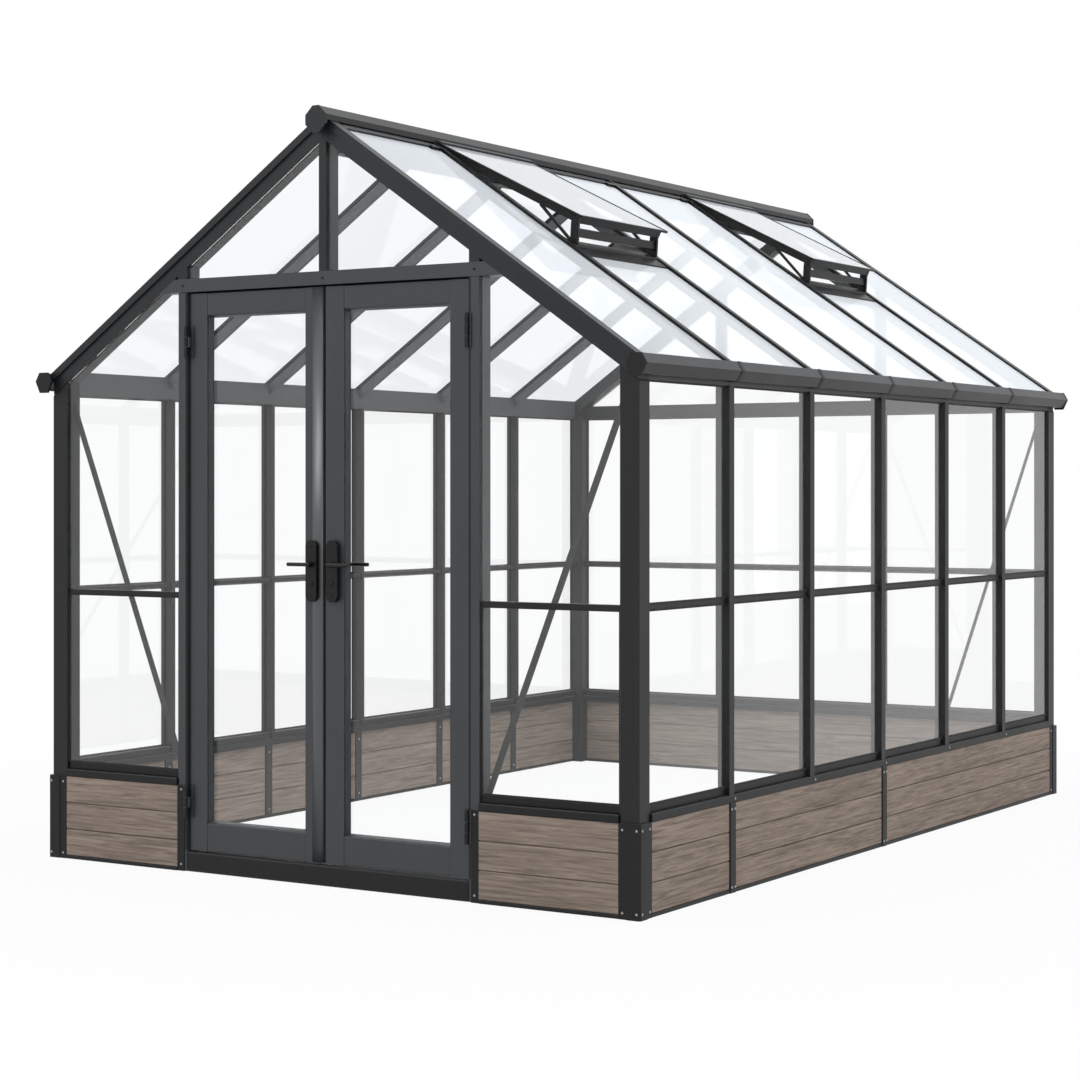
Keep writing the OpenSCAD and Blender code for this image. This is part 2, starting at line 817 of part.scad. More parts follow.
module right_door_stiles() door_stiles();
module right_door_rails() door_rails();
module right_door_glass() door_glass();
module right_door_hinges() door_hinges();
module right_handle_plates() handle_plates();
module right_lever() lever();
module left_door_stiles() mirror([1, 0, 0]) door_stiles();
module left_door_rails() mirror([1, 0, 0]) door_rails();
module left_door_glass() mirror([1, 0, 0]) door_glass();
module left_door_hinges() mirror([1, 0, 0]) door_hinges();
module left_handle_plates() mirror([1, 0, 0]) handle_plates();
module left_lever() mirror([1, 0, 0]) lever();

base_panels();
base_bottom_rails();
base_corner_covers();
base_joint_bars();
sill_rails();
glazing_rails();
door_threshold();
corner_posts();
side_posts();
back_posts();
back_tie_beam();
door_jambs();
door_head_rail();
gable_posts();
eave_beams();
gutters();
gutter_end_caps();
gable_rafters();
gable_cappings();
roof_bars();
roof_bar_caps();
ridge_beam();
ridge_cap();
ridge_end_caps();
mid_bars();
front_braces();
side_brace();
front_glass();
back_glass();
side_glass();
roof_glass();
vent_frames();
vent_glass();
vent_sills();
vent_stays();
jamb_hinges();
left_door_stiles();
left_door_rails();
left_door_glass();
left_door_hinges();
left_handle_plates();
right_door_stiles();
right_door_rails();
right_door_glass();
right_door_hinges();
right_handle_plates();
left_lever();
right_lever();
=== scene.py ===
# %% [markdown]
# # Dressing a glass greenhouse
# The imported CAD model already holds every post, bar, pane and joint of the house, in metres, with the
# doors facing -Y. It could be rebuilt here from nothing, but then nothing would promise that the doors
# still swing clear. So it is loaded as a fixed frame, and this lesson only adds finishes and small pieces.

import math

import bmesh
import bpy
import numpy as np
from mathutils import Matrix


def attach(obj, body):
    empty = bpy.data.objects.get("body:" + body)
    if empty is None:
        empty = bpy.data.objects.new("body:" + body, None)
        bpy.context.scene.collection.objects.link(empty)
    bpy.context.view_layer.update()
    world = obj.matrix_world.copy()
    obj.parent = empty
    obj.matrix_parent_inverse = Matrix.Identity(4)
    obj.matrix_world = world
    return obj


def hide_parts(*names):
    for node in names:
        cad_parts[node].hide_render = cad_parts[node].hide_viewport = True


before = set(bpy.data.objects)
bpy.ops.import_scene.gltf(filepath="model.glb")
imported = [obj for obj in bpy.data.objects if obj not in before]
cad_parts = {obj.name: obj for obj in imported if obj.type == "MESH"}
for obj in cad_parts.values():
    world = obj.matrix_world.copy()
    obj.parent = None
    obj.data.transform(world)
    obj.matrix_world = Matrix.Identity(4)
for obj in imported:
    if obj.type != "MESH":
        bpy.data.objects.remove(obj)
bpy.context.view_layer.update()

# %% [markdown]
# ## The camera
# The photograph looks level at one corner of the house, with upright edges that stay parallel. Such a view
# is made by keeping the camera level and sliding the picture instead of tilting, which is what the lens
# shift does. Place, turn and focal length come from fitting about forty corners of the frame.

# %% Camera at the photograph's corner
photo_px = 1080
focal_px = 2398.95
horizon_px = 488.2
sensor_mm = 36.0
heading = math.radians(32.07)
lens = bpy.data.cameras.new("photo_camera")
lens.sensor_width = sensor_mm
lens.lens = sensor_mm * focal_px / photo_px
lens.shift_y = (horizon_px - photo_px / 2) / photo_px
lens.clip_end = 200.0
camera = bpy.data.objects.new("photo_camera", lens)
camera.location = (4.884, -8.252, 1.333)
camera.rotation_euler = (math.pi / 2, 0.0, heading)
bpy.context.scene.collection.objects.link(camera)
bpy.context.scene.camera = camera
bpy.context.scene.view_settings.view_transform = "Standard"
print("lens", round(lens.lens, 2), "mm, shift", round(lens.shift_y, 4))

# %% [markdown]
# ## Small helpers for shader nodes
# A material is a graph of nodes. Writing each node in full makes long cells, so two helpers place a node
# with its values and join two sockets. They only shorten the text; nothing is hidden in them.


# %% Helpers for node graphs
def put(tree, kind, **values):
    """Adds one node. A value named after an input sets that socket, any other sets a property."""
    node = tree.nodes.new(kind)
    for name, value in values.items():
        socket = node.inputs.get(name.replace("_", " "))
        if socket is not None:
            socket.default_value = value
        else:
            setattr(node, name, value)
    return node


def join(tree, *pairs):
    """Links each pair of sockets, from the output to the input."""
    for output, target in pairs:
        tree.links.new(output, target)


def math_node(tree, operation, *sides):
    """One Math node; each side is a socket or a plain number. MULTIPLY_ADD takes three, a b + c."""
    node = put(tree, "ShaderNodeMath", operation=operation)
    for socket, side in zip(node.inputs, sides):
        if isinstance(side, (int, float)):
            socket.default_value = side
        else:
            tree.links.new(side, socket)
    return node.outputs[0]


def seen_directly(tree):
    """1 for rays from the camera, from gloss and through glass, and 0 for the rays that carry soft light."""
    path = put(tree, "ShaderNodeLightPath")
    either = math_node(tree, "MAXIMUM", path.outputs["Is Camera Ray"], path.outputs["Is Glossy Ray"])
    return math_node(tree, "MAXIMUM", either, path.outputs["Is Transmission Ray"])


print("helpers ready")

# %% [markdown]
# ## Studio: white all round, soft light
# The house stands on pure white. A white room lit hard enough to clip would bleach the frame, so the world
# and the floor show plain white only to rays that look at them, directly, in gloss or through glass.
# The light that falls on the house stays at a moderate level. Near the house the floor lets a little of its
# true shade through, so it keeps a faint shadow, and further out it fades into the white.

# %% World
world = bpy.data.worlds.new("white_studio")
world.use_nodes = True
bpy.context.scene.world = world
sky = world.node_tree
backdrop = sky.nodes["Background"]
soft_level = 0.62
white_view = seen_directly(sky)
level = math_node(sky, "MULTIPLY_ADD", white_view, 1.0 - soft_level, soft_level)
backdrop.inputs["Color"].default_value = (1.0, 1.0, 1.0, 1.0)
join(sky, (level, backdrop.inputs["Strength"]))
print("soft light level", soft_level)

# %% Floor finish
shadow_ends = (2.2, 4.5)
white_near_house = 0.94
floor_finish = bpy.data.materials.new("studio_floor")
floor_finish.use_nodes = True
ground = floor_finish.node_tree
ground.nodes.clear()
paper = put(ground, "ShaderNodeBsdfDiffuse", Color=(0.62, 0.62, 0.62, 1.0))
glow = put(ground, "ShaderNodeEmission", Color=(1.0, 1.0, 1.0, 1.0), Strength=1.0)
blend = put(ground, "ShaderNodeMixShader")
out = put(ground, "ShaderNodeOutputMaterial")
far_off = put(ground, "ShaderNodeVectorMath", operation="LENGTH")
fade = put(ground, "ShaderNodeMapRange", clamp=True, From_Min=shadow_ends[0], From_Max=shadow_ends[1],
           To_Min=white_near_house, To_Max=1.0)
join(ground, (put(ground, "ShaderNodeTexCoord").outputs["Object"], far_off.inputs[0]),
     (far_off.outputs["Value"], fade.inputs["Value"]))
share = math_node(ground, "MULTIPLY", seen_directly(ground), fade.outputs["Result"])
join(ground, (share, blend.inputs["Fac"]), (paper.outputs[0], blend.inputs[1]),
     (glow.outputs[0], blend.inputs[2]), (blend.outputs[0], out.inputs["Surface"]))
print("floor shadow fades between", shadow_ends, "m")

# %% Floor
floor_half = 40.0
floor_drop = 0.0015
corners = np.array([[-1, -1], [1, -1], [1, 1], [-1, 1]]) * floor_half
floor_mesh = bpy.data.meshes.new("studio_floor")
floor_mesh.from_pydata(np.c_[corners, np.full(4, -floor_drop)].tolist(), [], [[0, 1, 2, 3]])
floor_mesh.materials.append(floor_finish)
floor = bpy.data.objects.new("studio_floor", floor_mesh)
bpy.context.scene.collection.objects.link(floor)
print("floor", 2 * floor_half, "m wide")


# %% Lamps
def soft_lamp(name, place, aim, width, height, watts):
    """An oblong area lamp at one point, turned so that its face looks at the aim point."""
    data = bpy.data.lights.new(name, "AREA")
    data.shape = "RECTANGLE"
    data.size = width
    data.size_y = height
    data.energy = watts
    lamp = bpy.data.objects.new(name, data)
    lamp.location = place
    away = np.array(place) - np.array(aim)
    flat = math.hypot(away[0], away[1])
    lamp.rotation_euler = (math.atan2(flat, away[2]), 0.0, math.atan2(away[1], away[0]) + math.pi / 2)
    bpy.context.scene.collection.objects.link(lamp)
    return lamp


lamps = [soft_lamp("front_lamp", (-6.0, -9.0, 8.5), (0, -1.5, 1.0), 5.0, 5.0, 360.0),
         soft_lamp("door_lamp", (3.6, -11.0, 3.3), (0, -1.8, 1.4), 1.5, 6.5, 150.0),
         soft_lamp("side_lamp", (9.0, 1.0, 5.0), (0.6, 0, 1.0), 5.0, 5.0, 250.0),
         soft_lamp("top_lamp", (0.0, 0.0, 9.0), (0, 0, 0), 6.0, 6.0, 240.0)]
print("lamps:", [lamp.name for lamp in lamps])

# %% [markdown]
# ## Powder coat
# The bars are aluminium with a baked satin powder coat: dark grey, slightly uneven, with an orange-peel skin
# about a millimetre across and a little dulling where hands and rain have been. A flat grey would look like
# plastic. One node group makes the skin, a second pales the faces that look up, partly as settled dust and
# partly as painted light falling from above, and each painted material gives both its own values.


# %% Node group for the coat
def new_group(name, inputs, outputs):
    """An empty shader node group with named sockets, and its two end nodes."""
    group = bpy.data.node_groups.new(name, "ShaderNodeTree")
    for label, kind in inputs:
        group.interface.new_socket(label, in_out="INPUT", socket_type=kind)
    for label, kind in outputs:
        group.interface.new_socket(label, in_out="OUTPUT", socket_type=kind)
    return group, put(group, "NodeGroupInput"), put(group, "NodeGroupOutput")


coat_skin, coat_in, coat_out = new_group(
    "coat_skin",
    [("Tint", "NodeSocketColor"), ("Dullness", "NodeSocketFloat"), ("Streaks", "NodeSocketFloat")],
    [("Color", "NodeSocketColor"), ("Roughness", "NodeSocketFloat"), ("Height", "NodeSocketFloat")])
where = put(coat_skin, "ShaderNodeTexCoord").outputs["Object"]
peel = put(coat_skin, "ShaderNodeTexNoise", Scale=620.0, Detail=1.0)
cloud = put(coat_skin, "ShaderNodeTexNoise", Scale=2.6, Detail=4.0)
upright = put(coat_skin, "ShaderNodeMapping", Scale=(34.0, 34.0, 1.6))
runs = put(coat_skin, "ShaderNodeTexNoise", Scale=1.0, Detail=3.0)
join(coat_skin, (where, peel.inputs["Vector"]), (where, cloud.inputs["Vector"]),
     (where, upright.inputs["Vector"]), (upright.outputs[0], runs.inputs["Vector"]))
streak = math_node(coat_skin, "SUBTRACT", runs.outputs["Fac"], 0.5)
streak = math_node(coat_skin, "MULTIPLY", streak, coat_in.outputs["Streaks"])
shade = math_node(coat_skin, "MULTIPLY_ADD", cloud.outputs["Fac"], 0.30, 0.85)
shade = math_node(coat_skin, "ADD", shade, streak)
tinted = put(coat_skin, "ShaderNodeVectorMath", operation="SCALE")
rough = math_node(coat_skin, "MULTIPLY_ADD", cloud.outputs["Fac"], 0.16, -0.08)
rough = math_node(coat_skin, "ADD", rough, coat_in.outputs["Dullness"])
join(coat_skin, (coat_in.outputs["Tint"], tinted.inputs[0]), (shade, tinted.inputs["Scale"]),
     (tinted.outputs[0], coat_out.inputs["Color"]), (rough, coat_out.inputs["Roughness"]),
     (peel.outputs["Fac"], coat_out.inputs["Height"]))
print("group", coat_skin.name)

# %% Node group for dust and painted top light
dust_and_top_light, dust_light_in, dust_light_out = new_group(
    "dust_and_top_light",
    [("Color", "NodeSocketColor"), ("Dust", "NodeSocketColor"), ("Amount", "NodeSocketFloat")],
    [("Color", "NodeSocketColor")])
# Faces that look up are mixed towards a pale colour: partly settled dust, partly painted light from above.
facing = put(dust_and_top_light, "ShaderNodeSeparateXYZ")
patch = put(dust_and_top_light, "ShaderNodeTexNoise", Scale=9.0, Detail=5.0)
join(dust_and_top_light, (put(dust_and_top_light, "ShaderNodeNewGeometry").outputs["Normal"], facing.inputs[0]),
     (put(dust_and_top_light, "ShaderNodeTexCoord").outputs["Object"], patch.inputs["Vector"]))
upward = put(dust_and_top_light, "ShaderNodeMapRange", clamp=True, From_Min=0.15, From_Max=0.75)
join(dust_and_top_light, (facing.outputs["Z"], upward.inputs["Value"]))
uneven = math_node(dust_and_top_light, "MULTIPLY_ADD", patch.outputs["Fac"], 0.5, 0.75)
cover = math_node(dust_and_top_light, "MULTIPLY", upward.outputs["Result"], uneven)
cover = math_node(dust_and_top_light, "MULTIPLY", cover, dust_light_in.outputs["Amount"])
dusted_and_lit = put(dust_and_top_light, "ShaderNodeMix", data_type="RGBA", clamp_factor=True)
join(dust_and_top_light, (cover, dusted_and_lit.inputs["Factor"]), (dust_light_in.outputs["Color"], dusted_and_lit.inputs[6]),
     (dust_light_in.outputs["Dust"], dusted_and_lit.inputs[7]), (dusted_and_lit.outputs[2], dust_light_out.inputs["Color"]))
print("group", dust_and_top_light.name)

# %% Painted materials
# Pale colour for faces that look up: partly dust, partly painted light from above.
dust_and_light_tint = (0.115, 0.122, 0.132, 1.0)


def painted(name, tint, dullness, gloss=0.35, streaks=0.25, dust_and_light=0.3, peel_depth=0.12):
    """A Principled material: colour, roughness and bump from the coat group, pale tops of dust and painted
    light.
    """
    finish = bpy.data.materials.new(name)
    finish.use_nodes = True
    tree = finish.node_tree
    skin = put(tree, "ShaderNodeGroup", node_tree=coat_skin, Tint=(*tint, 1.0), Dullness=dullness,
               Streaks=streaks)
    bump = put(tree, "ShaderNodeBump", Strength=peel_depth, Distance=0.0004)
    surface = tree.nodes["Principled BSDF"]
    surface.inputs["Specular IOR Level"].default_value = gloss
    settled = put(tree, "ShaderNodeGroup", node_tree=dust_and_top_light, Dust=dust_and_light_tint, Amount=dust_and_light)
    join(tree, (skin.outputs["Color"], settled.inputs["Color"]),
         (settled.outputs["Color"], surface.inputs["Base Color"]),
         (skin.outputs["Roughness"], surface.inputs["Roughness"]),
         (skin.outputs["Height"], bump.inputs["Height"]),
         (bump.outputs["Normal"], surface.inputs["Normal"]))
    return finish


frame_coat = painted("frame_coat", (0.0095, 0.0099, 0.0104), 0.44, 0.28)
gable_coat = painted("gable_coat", (0.0112, 0.0130, 0.0150), 0.42, 0.30)
door_coat = painted("door_coat", (0.0345, 0.0380, 0.0427), 0.38, 0.42)
# The gutters and the ridge cap get paler tops than the rest: partly dust, partly painted light from above.
gutter_coat = painted("gutter_coat", (0.0085, 0.0088, 0.0092), 0.40, 0.30, dust_and_light=0.6)
ridge_coat = painted("ridge_coat", (0.0095, 0.010, 0.0108), 0.40, 0.30, dust_and_light=0.22)
base_coat = painted("base_coat", (0.0072, 0.0074, 0.0076), 0.46, 0.24, 0.4)
hardware_black = painted("hardware_black", (0.0075, 0.0076, 0.0078), 0.36, 0.22, 0.0, 0.1)
# Painted light: the bars seen inside get a far paler copy of the frame coat, for the bright light within.
inner_lit_coat = painted("inner_lit_coat", (0.0650, 0.0670, 0.0700), 0.46, 0.28)
brace_grey = painted("brace_grey", (0.012, 0.0123, 0.0126), 0.48, 0.3)
print("painted:", [m.name for m in (frame_coat, gable_coat, door_coat, base_coat)])

# %% [markdown]
# ## Glass
# The panes are clear float glass. Each one is a real 4 mm solid, so light bends in and out of it and the
# roof, seen almost edge-on, turns into a pale mirror by itself. Lamps can't shine through such glass in a
# plain way, so for shadow rays only the pane is made transparent. A faint haze keeps it from being perfect.
# The index of refraction is set a little below that of real glass, and lower still in the roof, because it
# also says how strongly a pane mirrors, and the underside of the roof shows hardly any of the walls.
# The roof panes also carry a thin pale film, as rain and pollen leave it: looking straight through it hardly
# shows, but at a flat angle the eye meets much more of it, so it is mixed in by the angle of view.

# %% Node group for haze
pane_haze, haze_in, haze_out = new_group(
    "pane_haze", [("Amount", "NodeSocketFloat")], [("Roughness", "NodeSocketFloat")])
spot = put(pane_haze, "ShaderNodeTexCoord").outputs["Object"]
wipe = put(pane_haze, "ShaderNodeTexNoise", Scale=1.8, Detail=5.0)
hazy = math_node(pane_haze, "MULTIPLY", wipe.outputs["Fac"], haze_in.outputs["Amount"])
join(pane_haze, (spot, wipe.inputs["Vector"]), (hazy, haze_out.inputs["Roughness"]))
print("group", pane_haze.name)

# %% Three kinds of pane
shadow_tint = (0.9, 0.93, 0.93, 1.0)
film_tint = (0.89, 0.94, 0.99, 1.0)
film_angles = (0.68, 0.82)


def pane(name, tint, haze, film_share, index):
    """Glass for the eye, under a film that thickens at flat angles, and see-through for shadow rays."""
    finish = bpy.data.materials.new(name)
    finish.use_nodes = True
    tree = finish.node_tree
    surface = tree.nodes["Principled BSDF"]
    surface.inputs["Base Color"].default_value = (*tint, 1.0)
    surface.inputs["Transmission Weight"].default_value = 1.0
    surface.inputs["IOR"].default_value = index
    dull = put(tree, "ShaderNodeGroup", node_tree=pane_haze, Amount=haze)
    clear = put(tree, "ShaderNodeBsdfTransparent", Color=shadow_tint)
    either = put(tree, "ShaderNodeMixShader")
    path = put(tree, "ShaderNodeLightPath")
    film = put(tree, "ShaderNodeBsdfDiffuse", Color=film_tint)
    coated = put(tree, "ShaderNodeMixShader")
    angle = put(tree, "ShaderNodeLayerWeight", Blend=0.5)
    thick = put(tree, "ShaderNodeMapRange", clamp=True, From_Min=film_angles[0], From_Max=film_angles[1],
                To_Max=film_share)
    join(tree, (dull.outputs["Roughness"], surface.inputs["Roughness"]),
         (angle.outputs["Facing"], thick.inputs["Value"]),
         (thick.outputs["Result"], coated.inputs["Fac"]),
         (surface.outputs[0], coated.inputs[1]), (film.outputs[0], coated.inputs[2]),
         (path.outputs["Is Shadow Ray"], either.inputs["Fac"]),
         (coated.outputs[0], either.inputs[1]), (clear.outputs[0], either.inputs[2]),
         (either.outputs[0], tree.nodes["Material Output"].inputs["Surface"]))
    return finish


wall_glass = pane("wall_glass", (0.98, 0.985, 0.985), 0.012, 0.0, 1.4)
roof_glass = pane("roof_glass", (0.94, 0.965, 0.985), 0.05, 0.72, 1.15)
vent_glass = pane("vent_glass", (0.93, 0.96, 0.98), 0.03, 0.35, 1.4)
print("glass:", wall_glass.name, roof_glass.name, vent_glass.name)

# %% [markdown]
# ## Finishes on the CAD pieces
# Most profiles of the house are right as they come from CAD, so they keep their mesh and only change finish.
# The gable frame and the doors are a shade lighter than the side posts, and the base metal is nearly black.
# The roof bars and eave beams, seen from below through the doors, have the palest coat: a far lighter copy
# of the dark frame coat, painted light that stands in for the bright light inside the house.

# %% Give every CAD node its finish
finish_of = {
    wall_glass: ["front_glass", "back_glass", "side_glass", "left_door_glass", "right_door_glass"],
    roof_glass: ["roof_glass"],
    vent_glass: ["vent_glass"],
    door_coat: ["left_door_stiles", "left_door_rails", "right_door_stiles", "right_door_rails",
                "door_jambs", "door_head_rail", "jamb_hinges", "left_door_hinges", "right_door_hinges"],
    # painted light: the inside bars take the pale copy of the frame coat
    inner_lit_coat: ["roof_bars", "eave_beams"],
    gable_coat: ["gable_rafters", "gable_cappings", "gable_posts", "ridge_end_caps"],
    gutter_coat: ["gutters"],
    ridge_coat: ["ridge_cap"],
    base_coat: ["base_bottom_rails", "base_corner_covers", "base_joint_bars", "sill_rails",
                "glazing_rails", "door_threshold", "gutter_end_caps"],
    hardware_black: ["left_handle_plates", "right_handle_plates", "left_lever", "right_lever",
                     "vent_stays", "vent_sills", "vent_frames", "roof_bar_caps"],
    brace_grey: ["front_braces", "side_brace"],
}
for node_name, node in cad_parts.items():
    chosen = [f for f, names in finish_of.items() if node_name in names] or [frame_coat]
    for material_slot in node.material_slots:
        material_slot.material = chosen[0]
print("finished", len(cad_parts), "CAD nodes")

# %% [markdown]
# ## Bars with softened edges
# Extruded bars never have knife edges: a small round along each one catches a thin line of light. A Bevel
# modifier would round one mesh at a time; here the rounded section is written as a formula and carried from
# one end of a bar to the other, for a whole list of bars at once.


# %% Rounded bars as one array
def tube_faces(count, rings, points):
    """Quads between neighbouring rings of each tube, and one flat face over each end."""
    index = np.arange(count * rings * points).reshape(count, rings, points)
    near, far = index[:, :-1], index[:, 1:]
    quads = np.stack([near, np.roll(near, -1, 2), np.roll(far, -1, 2), far], -1).reshape(-1, 4)
    caps = np.concatenate([index[:, 0, ::-1], index[:, -1]]).reshape(-1, points)
    return quads.tolist() + caps.tolist()


def soft_bars(starts, ends, across, up, radius, steps=3):
    """Straight bars of rounded-rectangle section. Each corner arc is centre + radius (cos a, sin a), with
    the centre one radius inside the half sizes given by the vectors across and up. The arc shrinks at
    the two end rings, which rounds the ends as well. Returns points (bar, ring, point, 3) and faces."""
    starts, ends, across, up = (np.atleast_2d(np.asarray(v, float)) for v in (starts, ends, across, up))
    across, up = np.broadcast_to(across, starts.shape), np.broadcast_to(up, starts.shape)
    along = ends - starts
    mirrored = np.einsum("ij,ij->i", np.cross(across, up), along) < 0
    across = np.where(mirrored[:, None], -across, across)
    size = [np.linalg.norm(v, axis=1, keepdims=True) for v in (across, up, along)]
    arc = np.linspace(0, np.pi / 2, steps + 1)
    angle = (np.arange(4)[:, None] * np.pi / 2 + arc).ravel()
    side = np.repeat(np.array([[1, 1], [-1, 1], [-1, -1], [1, -1]]), steps + 1, axis=0)
    small = 0.6 * radius
    step = np.array([0.0, small, -small, 0.0])
    place = np.stack([0 * size[2], 0 * size[2], size[2], size[2]], 1)[:, :, 0] + step
    bend = np.array([radius - small, radius, radius, radius - small])
    flat_u = side[:, 0] * (size[0] - radius)
    flat_v = side[:, 1] * (size[1] - radius)
    u = flat_u[:, None, :] + bend[None, :, None] * np.cos(angle)
    v = flat_v[:, None, :] + bend[None, :, None] * np.sin(angle)
    unit = [vec / s for vec, s in zip((across, up, along), size)]
    points = (starts[:, None, None] + place[:, :, None, None] * unit[2][:, None, None]
              + u[..., None] * unit[0][:, None, None] + v[..., None] * unit[1][:, None, None])
    return points, tube_faces(len(starts), 4, len(angle))


def make_piece(name, points, faces, finish, body, stands_for=()):
    """Puts a computed surface into a mesh object at the origin that rides on one body of the house."""
    mesh = bpy.data.meshes.new(name)
    mesh.from_pydata(np.asarray(points).reshape(-1, 3).tolist(), [], faces)
    mesh.materials.append(finish)
    shell = bmesh.new()
    shell.from_mesh(mesh)
    bmesh.ops.recalc_face_normals(shell, faces=shell.faces)
    shell.to_mesh(mesh)
    shell.free()
    piece = bpy.data.objects.new(name, mesh)
    bpy.context.scene.collection.objects.link(piece)
    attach(piece, body)
    if stands_for:
        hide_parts(*stands_for)
    print(name, "faces:", len(mesh.polygons), "on", body)
    return piece


print("soft bars ready")


# %% Boxes of the separate solids in a CAD node
def corners_of(node_name):
    """The corner points of each solid in a node. Equal corners are merged, then every triangle spreads
    the lowest label of its corners until the labels stop changing, so each solid ends with one label."""
    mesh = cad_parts[node_name].data
    points = np.empty(len(mesh.vertices) * 3, np.float32)
    mesh.vertices.foreach_get("co", points)
    points = points.reshape(-1, 3)
    corner = np.empty(len(mesh.loops), np.int32)
    mesh.loops.foreach_get("vertex_index", corner)
    spots, inverse = np.unique(np.round(points * 1e5).astype(int), axis=0, return_inverse=True)
    triangles = inverse.ravel()[corner].reshape(-1, 3)
    label = np.arange(len(spots))
    before = None
    while before is None or (before != label).any():
        before = label.copy()
        np.minimum.at(label, triangles.ravel(), np.repeat(label[triangles].min(1), 3))
    owner = label[inverse.ravel()]
    return [points[owner == n].astype(float) for n in np.unique(owner)]


def solids_of(node_name):
    """Low and high corner of the box round each solid in a node."""
    groups = corners_of(node_name)
    return np.array([g.min(0) for g in groups]), np.array([g.max(0) for g in groups])


def bars_in_boxes(low, high, radius):
    """One softened bar in each box, lying along the longest side of that box."""
    size = high - low
    axis = size.argmax(1)
    pick = np.eye(3)
    middle = (low + high) / 2
    reach = pick[axis] * size / 2
    across = pick[(axis + 1) % 3] * size / 2
    up = pick[(axis + 2) % 3] * size / 2
    return soft_bars(middle - reach, middle + reach, across, up, radius)


def bars_in_solids(node_name, radius, grow=0.0):
    """One softened bar in each solid, however it leans. Its axes are the three directions in which the
    corners of the solid spread (singular vectors), and its half sizes are their reach along these."""
    starts, ends, across, up = [], [], [], []
    for corners in corners_of(node_name):
        middle = (corners.min(0) + corners.max(0)) / 2
        axes = np.linalg.svd(corners - middle)[2]
        reach = np.abs((corners - middle) @ axes.T).max(0)
        starts.append(middle - axes[0] * reach[0])
        ends.append(middle + axes[0] * reach[0])
        across.append(axes[1] * (reach[1] + grow))
        up.append(axes[2] * (reach[2] + grow))
    return soft_bars(starts, ends, across, up, radius)


softened = [("base_bottom_rails", 0.002, base_coat, "house", "frame"),
            ("base_joint_bars", 0.003, base_coat, "house", "frame"),
            ("sill_rails", 0.003, base_coat, "house", "frame"),
            ("glazing_rails", 0.003, base_coat, "house", "frame"),
            ("door_threshold", 0.005, base_coat, "house", "frame"),
            ("door_jambs", 0.004, door_coat, "house", "frame"),
            ("left_door_rails", 0.003, door_coat, "left_door", "door"),
            ("right_door_rails", 0.003, door_coat, "right_door", "door")]
for node_name, radius, finish, body, slot in softened:
    points, faces = bars_in_boxes(*solids_of(node_name), radius)
    make_piece("soft_" + node_name, points, faces, finish, body, [node_name])

# %% Leaning bars of the vents
for node_name, radius, grow in (("vent_frames", 0.002, 0.0), ("vent_stays", 0.0015, 0.0025)):
    points, faces = bars_in_solids(node_name, radius, grow)
    make_piece("soft_" + node_name, points, faces, hardware_black, "house", [node_name])

# %% Corner posts, cut along the roof at the top
points, faces = bars_in_boxes(*solids_of("corner_posts"), 0.005)
ridge_z, eave_z, half_span = 2.572, 1.733, 1.220
roof_slope = (ridge_z - eave_z) / half_span
inner_face = np.abs(points[..., 0]).min()
points[:, 2:, :, 2] -= roof_slope * (np.abs(points[:, 2:, :, 0]) - inner_face)
make_piece("soft_corner_posts", points, faces, frame_coat, "house", ["corner_posts"])

# %% [markdown]
# ## Corner and jamb covers of the base
# A pressed cover wraps each corner of the base: a rounded body, then a flat flange a few millimetres lower
# that holds the boards with screws. A box would lose that step, so its outline is drawn once as a list of
# points and carried straight up, and the four corners are the same outline with the signs of x and y changed.


# %% Pressed covers
def upright_covers(outline, corner_x, corner_y, low_z, high_z):
    """Carries an outline, measured inwards from each outer corner, from one height to another."""
    turn = np.array([[1, 1], [-1, 1], [-1, -1], [1, -1]], float)
    flat = turn[:, None] * (np.array([corner_x, corner_y]) - outline)
    heights = np.array([low_z, high_z])
    points = np.empty((4, 2, len(outline), 3))
    points[..., :2] = flat[:, None]
    points[..., 2] = heights[None, :, None]
    return points, tube_faces(4, 2, len(outline))


corner_x, corner_y, cover_top = 1.230, 1.840, 0.297
corner_radius = 0.008
bend = np.linspace(np.pi / 2, 0, 6)
round_corner = corner_radius * (1 - np.c_[np.cos(bend), np.sin(bend)])
leg = np.array([[0.080, 0.0035], [0.052, 0.0035], [0.050, 0.0004], [0.048, 0.0]])
cover_outline = np.concatenate([leg, round_corner, leg[::-1, ::-1],
                                [[0.010, 0.080], [0.010, 0.010], [0.080, 0.010]]])
points, faces = upright_covers(cover_outline, corner_x, corner_y, 0.0, cover_top)
make_piece("corner_covers", points, faces, base_coat, "house", ["base_corner_covers"])

# %% Flat covers at the door jambs
low = np.array([[0.599, -1.8328, 0.0], [-0.631, -1.8328, 0.0]])
high = np.array([[0.631, -1.829, 0.300], [-0.599, -1.829, 0.300]])
points, faces = bars_in_boxes(low, high, 0.0015)
make_piece("jamb_covers", points, faces, base_coat, "house")

# %% [markdown]
# ## Base boards
# Each base panel is three boards, about 95 mm high, with a narrow dark joint between them and wood grain
# along their length. The joints could be painted on, but real gaps shade themselves from every side, so each
# board is a bar of its own around a thin core. A per-point attribute carries the place along and across the
# board, so that the grain follows each wall and no two boards share one pattern.

